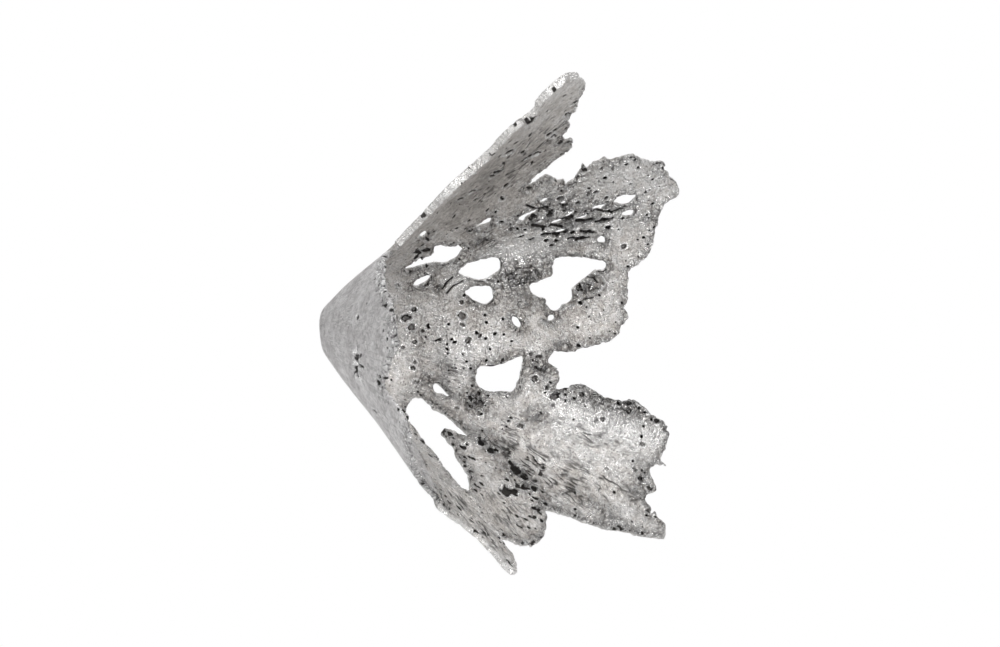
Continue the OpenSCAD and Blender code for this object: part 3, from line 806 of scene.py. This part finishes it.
def sample(sheet, values, x, y):
    """Values of a map at points of the sheet, between its lattice points."""
    u = np.clip((x - sheet.x0) / sheet.step, 0, values.shape[0] - 1.001)
    v = np.clip((y - sheet.y0) / sheet.step, 0, values.shape[1] - 1.001)
    i, j = u.astype(int), v.astype(int)
    p, q = u - i, v - j
    return (values[i, j] * (1 - p) * (1 - q) + values[i + 1, j] * p * (1 - q)
            + values[i, j + 1] * (1 - p) * q + values[i + 1, j + 1] * p * q)


def skin_looks(sheet, crests, x, y, inward):
    """What the material needs at each point: painted shade, height, tone (partly painted highlight and
    shade), flow lines, the edge that gets a painted highlight, and its place.
    """
    inner, outer = sample(sheet, sheet.inner, x, y), sample(sheet, sheet.outer, x, y)
    inside = inward > (inner + outer) / 2
    metal = sample(sheet, sheet.metal, x, y)
    from_skin = np.minimum(np.abs(inner - inward), np.abs(inward - outer))
    edge = np.clip(1.4 - metal / 1.6, 0, 1) * np.clip(from_skin / 0.9, 0, 1)
    slant = np.hypot(x, y)
    turn = np.degrees(np.arctan2(y, x)) / SIN
    return {
        "pits": np.where(inside, sample(sheet, sheet.pit_shade_in, x, y), sample(sheet, sheet.pit_shade_out, x, y)),
        "relief": np.where(inside, sample(sheet, crests[0], x, y), sample(sheet, crests[1], x, y)),
        "tone": np.where(inside, sample(sheet, sheet.tone, x, y), 0.0),
        "lined": np.where(inside, sample(sheet, sheet.lined, x, y), 0.3),
        "grain": sample(sheet, sheet.grain, x, y) * np.where(inside, 1.0, 0.6),
        "edge": edge * sample(sheet, sheet.bare, x, y),
        "place": np.stack([slant, np.radians(turn) * FLOW_R * SIN, inward], -1) / 1000,
    }


# ---------------------------------------------------------------- nose cup
RIM_FRONT = [(98, 58), (108, 67), (114, 66.5), (121, 68.5), (131, 76), (141, 83.5), (150, 92.5), (157, 104),
             (163, 112), (168, 117.5), (172, 122), (175, 120), (177, 117), (180, 111.5), (185, 107),
             (189, 101.5), (191.5, 101), (193, 105), (194, 116), (195.5, 124), (198, 129), (201, 131),
             (207, 128), (215, 121), (224, 115), (233, 112), (240, 113), (250, 118), (270, 90), (286, 60)]
FRONT_AREA = [(108, 10), (108, 71), (122, 90), (125, 200), (236, 200), (239, 125), (245, 112), (257, 84),
              (276, 60), (276, 10)]
FRONT_CRATERS = [(161.6, 67, 4.4, 1.6, 1.6), (185.5, 69.5, 9, 2.2, 1.3, 10),
                 (193.5, 66.5, 11, 2.8, 1.2, -20), (209.5, 83, 4.4, 2.8, 2.6, -25), (153, 95, 4, 2.4, 1.2),
                 (159.5, 102, 3.6, 2.8, 3.2, 10), (163, 113, 5.4, 3.2, 1.3), (147, 85, 2.4, 1.6, 3, 70),
                 (182, 110, 5.2, 3, 1.6), (187, 105, 4.4, 2.6, 1.4, 10), (190, 97, 4.4, 2.8, 1.6),
                 (172, 112, 3.4, 1.8, 1.2), (169, 106, 2.8, 1.4, 1.4), (141, 76, 3.4, 1.8, 1.6),
                 (128, 68, 2.8, 1.4), (155, 76, 2.2, 0.9, 2.4, 30), (176, 110, 3.2, 1.8), (157, 97, 3, 1.8)]
# The star-shaped scar on the nose.
FACETS = [[(181, 66), (185, 66)], [(191, 63), (196, 67)], [(184, 73), (188, 73)], [(193, 71), (195, 75)]]
SCAR = [[(186, 69), (177.5, 69.5)], [(187, 68), (183.5, 63)], [(186, 69), (181.5, 75)], [(190, 68),
        (197.5, 61)], [(191, 68.5), (198, 72.5)], [(188, 69), (188, 77.5)]]


def front_sheet():
    """The sheet of the low front wall, which is part of the nose cup."""
    sheet = Sheet(FRONT_MIDDLE, FRONT_LOW, FRONT_HIGH, CUP_STEP)
    root = [(angle, 20) for angle in range(286, 97, -12)]
    outline = smooth_outline([sheet.place(*p) for p in RIM_FRONT + root], 1)
    x, y = sheet.x, sheet.y
    ragged = 0.9 * cloud(x, y, 6.5, 81) + 0.4 * noise(x, y, 2.4, 82)
    sheet.metal = inside_distance(x, y, outline) + ragged * np.clip((sheet.radius - 62) / 12, 0, 1)
    rim = np.exp(-np.clip(sheet.metal - 1, 0, 99) ** 2 / 26) * np.clip((sheet.radius - 60) / 12, 0, 1)
    wide = folds(x, y, 6.0, 83)
    band = np.clip(1 - (sheet.metal - 1.5 * cloud(x, y, 8.0, 88)) / 11, 0, 1)
    band *= np.clip((sheet.radius - 60) / 12, 0, 1)
    # A bright bar on the near rim, kept smooth and given a painted highlight.
    bar = sheet.patch(194.5, 117, 3.4, 14)
    sheet.inner += rim * (1.6 * (wide - 0.6) + 0.6 * cloud(x, y, 7.0, 84)) + 0.3 * cloud(x, y, 10.0, 85)
    rough_band = np.clip(1.6 * band, 0, 1) * (1 - bar)
    sheet.outer += 2.2 * band - rough_band * (1.9 * (wide - 0.6) + 1.0 * (folds(x, y, 3.4, 89) - 0.6))
    sheet.outer += 0.10 * cloud(x, y, 14.0, 86) + 0.07 * noise(x, y, 3.0, 87)
    # Painted shade in the creases of the rough band and of the rim.
    sheet.pit_shade_out = np.maximum(sheet.pit_shade_out, 0.8 * rough_band * np.clip(1 - wide * 2.6, 0, 1))
    sheet.pit_shade_in = np.maximum(sheet.pit_shade_in, 0.7 * rim * np.clip(1 - wide * 2.6, 0, 1))
    sheet.ridge([(243, 95), (244.5, 101), (245.6, 105), (247.2, 108), (248.4, 111)], 1.3, -2.6)
    for crater in FRONT_CRATERS:
        sheet.crater(*crater, lip=0.3, dark=0.9, outside=True, ringed=crater[2] > 5)
    for places in SCAR:
        sheet.ridge(places, 1.3, -2.2, outside=True)
    for places in FACETS:
        sheet.ridge(places, 1.4, 1.3, outside=True)
    rng = np.random.default_rng(11)
    for _ in range(FRONT_PITS):
        i, j = int(rng.integers(0, x.shape[0])), int(rng.integers(0, x.shape[1]))
        size = 1.4 + 1.8 * rng.random()
        outside = rng.random() < 0.5
        share = 0.9 * rough_band[i, j] if outside else rim[i, j] + 0.1
        if sheet.metal[i, j] > 0.3 and rng.random() < share:
            sheet.crater_at(x[i, j], y[i, j], size, 0.5 * size, 1.2, 0.0, 0.2, 0.85, outside)
    sheet.own = inside_distance(x, y, np.array([sheet.place(*p) for p in FRONT_AREA])) + SEAM_OVERLAP
    # Tone: a lighter rough band, and painted highlights on the bar and on the scar's two facets.
    sheet.tone = 0.8 * rough_band + bar + sheet.patch(193.5, 67, 5, 6) + sheet.patch(183, 70, 4, 5)
    sheet.lined = np.full(x.shape, 0.8)
    sheet.grain = rough_band
    # Cut edges get a painted highlight, strongest on the bar.
    sheet.bare = 0.4 + 1.2 * bar
    return sheet


def cup_place(sheet, x, depth, z):
    """Where a point lies in the wall: place on the sheet, depth inward, slant distance and turn."""
    radius = np.hypot(x, z)
    up = depth - NOSE_CENTRE
    slant = radius * SIN + up * COS
    inward = np.where(slant > 0, NOSE_R - (radius * COS - up * SIN), NOSE_R - np.hypot(radius, up))
    angle = np.degrees(np.arctan2(z, x))
    slant = slant + NOSE_R * COS / SIN
    inward = inward + swell(angle, slant)
    turn = (angle - sheet.middle + 180) % 360 - 180
    fx = slant * np.cos(np.radians(turn) * SIN)
    fy = slant * np.sin(np.radians(turn) * SIN)
    return radius, slant, turn, inward, fx, fy


def cup_field(sheet, x, depth, z):
    """Distance from the nose cup, negative inside, at points in millimetres."""
    radius, slant, turn, inward, fx, fy = cup_place(sheet, x, depth, z)
    faces_front = (np.abs(turn) < 112) & (slant > 42)
    metal = np.where(faces_front, sample(sheet, sheet.metal, fx, fy), -9)
    own = np.where(faces_front, sample(sheet, sheet.own, fx, fy), -9)
    fade = np.clip((slant - 66) / 20, 0, 1)
    inner = WALL + (sample(sheet, sheet.inner, fx, fy) - WALL) * fade
    outer = sample(sheet, sheet.outer, fx, fy) * np.clip((slant - 45) / 20, 0, 1)
    front = np.maximum(wall_field(metal, inner, outer, inward), -own)
    floor = NOSE_DEPTH + FLOOR_R - np.sqrt(np.maximum(FLOOR_R ** 2 - radius ** 2, 0))
    skin_gap, floor_gap = inward - WALL, depth - floor
    blend = np.clip(0.5 + 0.5 * (skin_gap - floor_gap) / FLOOR_BLEND, 0, 1)
    hollow = floor_gap * blend + skin_gap * (1 - blend) - FLOOR_BLEND * blend * (1 - blend)
    past_ring = slant - (CUP_R + WALL * COS) / SIN - SEAM_OVERLAP
    cup = np.maximum(np.maximum(-inward, hollow), past_ring)
    solid = np.maximum(np.minimum(front, cup), -depth)
    bore = np.maximum(radius - INSERT_R - 0.02, depth - INSERT_LENGTH)
    return np.maximum(solid, -bore)


def nose_cup(sheet):
    """Meshes the nose and its front wall as one solid."""
    step = CUP_STEP
    low = np.array(CUP_LOW)
    n = ((np.array(CUP_HIGH) - low) / step).astype(int) + 1
    xs, ds, zs = (low[k] + step * np.arange(n[k]) for k in range(3))
    x, d, z = np.meshgrid(xs, ds, zs, indexing="ij")
    radius, _, _, inward, _, _ = cup_place(sheet, x, d, z)
    near = (inward > -4) & ((inward < WALL + 5) | ((d < NOSE_DEPTH + 12) & (radius < 45)))
    field = np.full(x.shape, 4.0)
    field[near] = cup_field(sheet, x[near], d[near], z[near])
    for axis in range(3):
        edge = [slice(None)] * 3
        edge[axis] = [0, -1]
        field[tuple(edge)] = 4.0
    points, quads = level_mesh(field, low, (step, step, step))
    keep, quads = largest_part(points, quads)
    points = points[keep]
    for _ in range(2):
        value = cup_field(sheet, *points.T)
        slope = np.stack([(cup_field(sheet, *(points + 0.1 * e).T) - value) / 0.1 for e in np.eye(3)], -1)
        steep = np.maximum((slope ** 2).sum(1), 0.3)
        points = points - np.clip(value / steep, -0.3, 0.3)[:, None] * slope
    _, slant, turn, inward, fx, fy = cup_place(sheet, *points.T)
    looks = skin_looks(sheet, standing(sheet), fx, fy, inward)
    inside = np.clip(inward - 1.5, 0, 1) * np.clip((slant - 50) / 15, 0, 1)
    looks["grain"] = np.maximum(looks["grain"], 0.35 * inside)
    looks["lined"] = np.where(inward > 1.5, 0.2, looks["lined"])
    outside_front = (slant < 60) | (np.abs(turn) > 110)
    for label in ("pits", "relief", "edge", "tone", "grain"):
        looks[label] = np.where(outside_front, 0.0, looks[label])
    placed = np.stack([points[:, 0], -points[:, 1], points[:, 2]], -1)
    return mesh_piece("cast_nose_cup", placed, quads[:, ::-1], looks)


# ---------------------------------------------------------------- materials
class Graph:
    """The nodes of one material, with short names for those that repeat.

    A value given to a node is a number, a tuple or another node's output.
    """

    def __init__(self, name, colour, roughness):
        self.material = bpy.data.materials.new(name)
        self.material.use_nodes = True
        self.tree = self.material.node_tree
        self.shader = self.tree.nodes["Principled BSDF"]
        self.put(colour, "Base Color")
        self.put(roughness, "Roughness")

    def put(self, value, name, node=None):
        """Links an output to a node's input, the shader's unless another is given, or sets its value."""
        socket = (node or self.shader).inputs[name]
        if isinstance(value, bpy.types.NodeSocket):
            self.tree.links.new(value, socket)
        elif isinstance(value, tuple) and socket.type == "RGBA":
            socket.default_value = (*value, 1)
        else:
            socket.default_value = value

    def add(self, kind, inputs):
        """Adds a node with the given inputs."""
        node = self.tree.nodes.new(kind)
        for name, value in inputs.items():
            self.put(value, name, node)
        return node

    def math(self, operation, *values):
        node = self.add("ShaderNodeMath", dict(enumerate(values)))
        node.operation = operation
        return node.outputs["Value"]

    def plus(self, first, second):
        return self.math("ADD", first, second)

    def minus(self, first, second):
        return self.math("SUBTRACT", first, second)

    def times(self, first, second):
        return self.math("MULTIPLY", first, second)

    def most(self, first, second):
        return self.math("MAXIMUM", first, second)

    def remap(self, value, low, high, to_low=0.0, to_high=1.0):
        """Maps low..high to to_low..to_high and holds the ends."""
        inputs = {"Value": value, "From Min": low, "From Max": high, "To Min": to_low, "To Max": to_high}
        return self.add("ShaderNodeMapRange", inputs).outputs["Result"]

    def mixed(self, factor, first, second):
        """Mix of two colours."""
        node = self.tree.nodes.new("ShaderNodeMix")
        node.data_type = "RGBA"
        self.put(factor, "Factor", node)
        self.put(first, "A", node)
        self.put(second, "B", node)
        return node.outputs["Result"]

    def noise(self, coords, scale, detail=2.0, roughness=0.5, distortion=0.0, output="Fac"):
        inputs = {"Vector": coords, "Scale": scale, "Detail": detail, "Roughness": roughness,
                  "Distortion": distortion}
        return self.add("ShaderNodeTexNoise", inputs).outputs[output]

    def cells(self, coords, scale, feature, output):
        """Voronoi cells: their random shade, or the distance to their edge."""
        node = self.add("ShaderNodeTexVoronoi", {"Vector": coords, "Scale": scale})
        node.feature = feature
        return node.outputs[output]

    def attribute(self, name, output="Fac"):
        node = self.tree.nodes.new("ShaderNodeAttribute")
        node.attribute_name = name
        return node.outputs[output]

    def vector(self, operation, *values):
        node = self.tree.nodes.new("ShaderNodeVectorMath")
        node.operation = operation
        for number, value in enumerate(values):
            self.put(value, number, node)
        return node.outputs["Vector"]

    def bent(self, coords, scale, reach):
        """Coordinates pushed about by a noise, so that cells lose their straight sides."""
        push = self.noise(coords, scale, output="Color")
        return self.vector("MULTIPLY_ADD", push, (reach, reach, reach), coords)

    def crease_lines(self, coords, scale, width):
        """Thin winding lines: 1 on a line and 0 away from it."""
        away = self.math("ABSOLUTE", self.minus(self.noise(coords, scale, 0.6, 0.5, 0.7), 0.5))
        return self.remap(away, 0.25 * width, width, 1.0, 0.0)

    def bump(self, height, strength, distance):
        inputs = {"Height": height, "Strength": strength, "Distance": distance}
        self.put(self.add("ShaderNodeBump", inputs).outputs["Normal"], "Normal")


# White of the painted highlights on crests, cut edges and glints.
HIGHLIGHT_COLOUR = (0.95, 0.945, 0.94)


def cast_metal(name, clean_and_lit, stained_and_shaded, dark, rough, crackle):
    """Cast aluminium: painted shade in hollows, near-black painted shade in pits and crease lines, painted
    highlights on crests, cut edges and glints, and flow lines and grain.
    """
    g = Graph(name, clean_and_lit, rough)
    coords = g.tree.nodes.new("ShaderNodeTexCoord").outputs["Object"]
    flowing = g.vector("MULTIPLY", g.attribute("place", "Vector"), (0.16, 1.0, 1.0))
    lined, grain, edge = g.attribute("lined"), g.attribute("grain"), g.attribute("edge")
    broad = g.remap(g.noise(coords, 55, 5, 0.6), 0.40, 0.60, -0.5, 0.5)
    mottle = g.remap(g.noise(coords, 210, 4, 0.65, 0.6), 0.40, 0.60, -0.6, 0.6)
    fine = g.noise(coords, 700, 3, 0.65, 0.4)
    flow = g.noise(flowing, 620, 3, 0.6, 0.3)
    facet = g.minus(g.cells(g.bent(coords, 240, 0.006), 300, "F1", "Color"), 0.5)
    crack = g.cells(g.bent(coords, 150, 0.010), 200, "DISTANCE_TO_EDGE", "Distance")

    # Crease lines: painted shade in fine creases, cell cracks and flow grooves.
    spread = g.remap(g.noise(coords, 110, 3), 0.42, 0.56)
    strong = g.times(grain, g.remap(g.noise(coords, 140, 2), 0.36, 0.52, 0.25, 1.0))
    cracks = g.times(g.remap(crack, 0.05, 0.11, 1.0, 0.0), strong)
    thin_creases = g.times(g.crease_lines(coords, 240, 0.09), g.times(spread, g.most(0.5 * crackle, grain)))
    flow_creases = g.times(g.crease_lines(flowing, 400, 0.11), g.times(g.plus(spread, 0.25), lined))
    crease_lines = g.most(cracks, g.most(thin_creases, flow_creases))

    # The cut edges get a painted highlight, and keep little of the relief, of the painted shade and of the
    # stains.
    bare = g.minus(1.0, g.times(edge, 0.8))
    relief = g.times(g.attribute("relief"), bare)
    # Painted shade in hollows and painted highlight on crests, from how far the skin stands above its
    # surroundings.
    hollow = g.remap(relief, -0.1, -0.7)
    crest = g.remap(relief, 0.2, 0.7)
    tone = g.plus(g.plus(g.attribute("tone"), broad), mottle)
    tone = g.plus(tone, g.times(facet, g.plus(grain, 0.2)))
    # Glint flecks: small painted highlights on facets, where the grain is strong.
    glint_flecks = g.times(g.times(g.remap(facet, 0.12, 0.25), g.plus(grain, 0.12)), bare)
    bright = g.most(g.most(g.times(crest, 0.9), g.times(edge, 0.5)), glint_flecks)
    # Painted shade, mixed towards the dark colour: dark specks, crease lines and the darkest tone, partly
    # painted shade, all weaker on cut edges, and then the pits.
    shade = g.most(g.times(g.remap(fine, 0.43, 0.37, 0.0, 0.9), crackle), crease_lines)
    shade = g.times(g.most(shade, g.remap(tone, -0.9, -2.2, 0.0, 0.5)), bare)
    ragged_pit_shade = g.plus(g.attribute("pits"), g.times(fine, 0.5))
    shade = g.most(shade, g.remap(ragged_pit_shade, 0.62, 0.82))

    # Tone mixes from the darker colour to the lighter one, partly stains and partly painted shade and
    # highlight; then hollows are darkened as painted shade, and crests, cut edges and glints lightened
    # towards white as painted highlight.
    colour = g.mixed(g.remap(tone, -1.1, 1.1), stained_and_shaded, clean_and_lit)
    colour = g.mixed(g.times(hollow, 0.6), colour, tuple(0.25 * c for c in stained_and_shaded))
    colour = g.mixed(bright, colour, HIGHLIGHT_COLOUR)
    g.put(g.mixed(g.times(shade, 0.95), colour, dark), "Base Color")
    gloss = g.minus(g.remap(fine, 0.3, 0.7, rough + 0.1, rough - 0.1), g.times(bright, 0.12))
    gloss = g.minus(gloss, g.remap(tone, 0.4, 1.6, 0.0, 0.12))
    g.put(g.plus(gloss, g.times(shade, 0.25)), "Roughness")
    height = g.minus(g.plus(fine, g.times(g.times(flow, lined), 0.9)), crease_lines)
    height = g.plus(height, g.times(mottle, g.plus(grain, 0.25)))
    height = g.plus(height, g.times(g.remap(crack, 0.0, 0.3, 0.0, 1.2), grain))
    g.bump(height, 1.0, 0.0011)
    g.put(1.0, "Metallic")
    return g.material


def turned_brass(name):
    """Dull turned brass with a fine uneven skin."""
    g = Graph(name, (0.62, 0.45, 0.2), 0.4)
    fine = g.noise(g.tree.nodes.new("ShaderNodeTexCoord").outputs["Object"], 800)
    g.put(g.mixed(fine, (0.62, 0.45, 0.2), (0.42, 0.3, 0.14)), "Base Color")
    g.bump(fine, 0.3, 0.0002)
    g.put(1.0, "Metallic")
    return g.material


# ---------------------------------------------------------------- object
# Each skin's lighter colour is clean metal and painted highlight; its darker colour is stains and painted
# shade.
skin = cast_metal("cast_skin", clean_and_lit=(0.90, 0.885, 0.885), stained_and_shaded=(0.49, 0.473, 0.475),
                  dark=(0.05, 0.048, 0.046), rough=0.40, crackle=0.3)
rough_metal = cast_metal("cast_petal", clean_and_lit=(0.90, 0.89, 0.88), stained_and_shaded=(0.60, 0.567, 0.537),
                         dark=(0.045, 0.042, 0.039), rough=0.34, crackle=0.7)

petals = far_sheet()
petal_crests = standing(petals)
for node in TERRITORIES:
    piece = petal(petals, petal_crests, node)
    piece.data.materials.append(rough_metal)
    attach(piece, "root")
    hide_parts(node)

cup = nose_cup(front_sheet())
cup.data.materials.append(skin)
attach(cup, "root")
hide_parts("nose_cup")

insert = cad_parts["wall_insert"]
insert.data.materials.clear()
insert.data.materials.append(turned_brass("turned_brass"))

# ---------------------------------------------------------------- stage, camera, light
low, high = cad_box
middle = (low + high) / 2
# Distance of the camera and of the lights, in metres.
STAND_OFF = 2.0


def white_to_camera(tree, seen, unseen, output, socket):
    """Shows one shader to the camera and lets every other ray meet another."""
    path = tree.nodes.new("ShaderNodeLightPath")
    mix = tree.nodes.new("ShaderNodeMixShader")
    tree.links.new(path.outputs["Is Camera Ray"], mix.inputs["Fac"])
    tree.links.new(unseen.outputs[0], mix.inputs[1])
    tree.links.new(seen.outputs[0], mix.inputs[2])
    tree.links.new(mix.outputs["Shader"], output.inputs[socket])


def studio_floor():
    """A white floor that sweeps up at its edge."""
    rings = [(2.0, 0.0), (3.2, 0.15), (4.0, 0.6)]
    sides = 96
    floor_z = low.z - 0.35
    points, faces = [(middle.x, middle.y, floor_z)], []
    for r, h in rings:
        for k in range(sides):
            t = 2 * math.pi * k / sides
            points.append((middle.x + r * math.cos(t), middle.y + r * math.sin(t), floor_z + h))
    for k in range(sides):
        faces.append((0, 1 + k, 1 + (k + 1) % sides))
    for ring in range(len(rings) - 1):
        a = 1 + ring * sides
        for k in range(sides):
            n = (k + 1) % sides
            faces.append((a + k, a + sides + k, a + sides + n, a + n))
    mesh = bpy.data.meshes.new("floor")
    mesh.from_pydata(points, [], faces)
    mesh.polygons.foreach_set("use_smooth", [True] * len(faces))
    obj = bpy.data.objects.new("floor", mesh)
    bpy.context.scene.collection.objects.link(obj)
    graph = Graph("floor", (0.8, 0.8, 0.8), 1.0)
    glow = graph.add("ShaderNodeEmission", {"Strength": 1.0})
    white_to_camera(graph.tree, glow, graph.shader, graph.tree.nodes["Material Output"], "Surface")
    mesh.materials.append(graph.material)


def studio_room(strength):
    """White walls to the camera, and a dimmer room in every reflection."""
    world = bpy.data.worlds.new("studio")
    world.use_nodes = True
    tree = world.node_tree
    dim = tree.nodes["Background"]
    dim.inputs["Color"].default_value = (1, 1, 1, 1)
    dim.inputs["Strength"].default_value = strength
    white = tree.nodes.new("ShaderNodeBackground")
    white.inputs["Color"].default_value = (1, 1, 1, 1)
    white.inputs["Strength"].default_value = 1.0
    white_to_camera(tree, white, dim, tree.nodes["World Output"], "Surface")
    bpy.context.scene.world = world


def towards(azimuth, elevation):
    """Unit vector for an azimuth, counted from the front towards +X, and an elevation, in degrees."""
    a, e = math.radians(azimuth), math.radians(elevation)
    return Vector((math.sin(a) * math.cos(e), -math.cos(a) * math.cos(e), math.sin(e)))


def soft_light(name, azimuth, elevation, size, radiance):
    """Round softbox that faces the object. Its brightness in a mirror is radiance."""
    data = bpy.data.lights.new(name, "AREA")
    data.shape = "DISK"
    data.size = size
    data.energy = radiance * math.pi * math.pi * (size / 2) ** 2
    lamp = bpy.data.objects.new(name, data)
    lamp.visible_camera = False
    lamp.location = middle + STAND_OFF * towards(azimuth, elevation)
    lamp.rotation_euler = (middle - lamp.location).to_track_quat("-Z", "Y").to_euler()
    bpy.context.scene.collection.objects.link(lamp)


studio_floor()
studio_room(strength=0.52)
soft_light("key", -14, 46, size=0.8, radiance=16.0)
soft_light("side", -95, 30, size=0.6, radiance=9.0)
soft_light("front", -40, -6, size=0.5, radiance=2.4)
soft_light("left_back", -124, 12, size=1.0, radiance=3.4)
soft_light("right_back", 128, 34, size=0.9, radiance=2.6)
scene_view = bpy.context.scene.view_settings
scene_view.view_transform = "Standard"
scene_view.look = "None"

camera_data = bpy.data.cameras.new("camera")
camera_data.lens = 100
camera_data.sensor_width = 36
camera = bpy.data.objects.new("camera", camera_data)
seen_from = Vector((0, -0.110, 0))
camera.location = seen_from + STAND_OFF * towards(-60, 8)
aim = Vector((0.0160, -0.134, 0.0126))
camera.rotation_euler = (aim - camera.location).to_track_quat("-Z", "Y").to_euler()
bpy.context.scene.collection.objects.link(camera)
bpy.context.scene.camera = camera
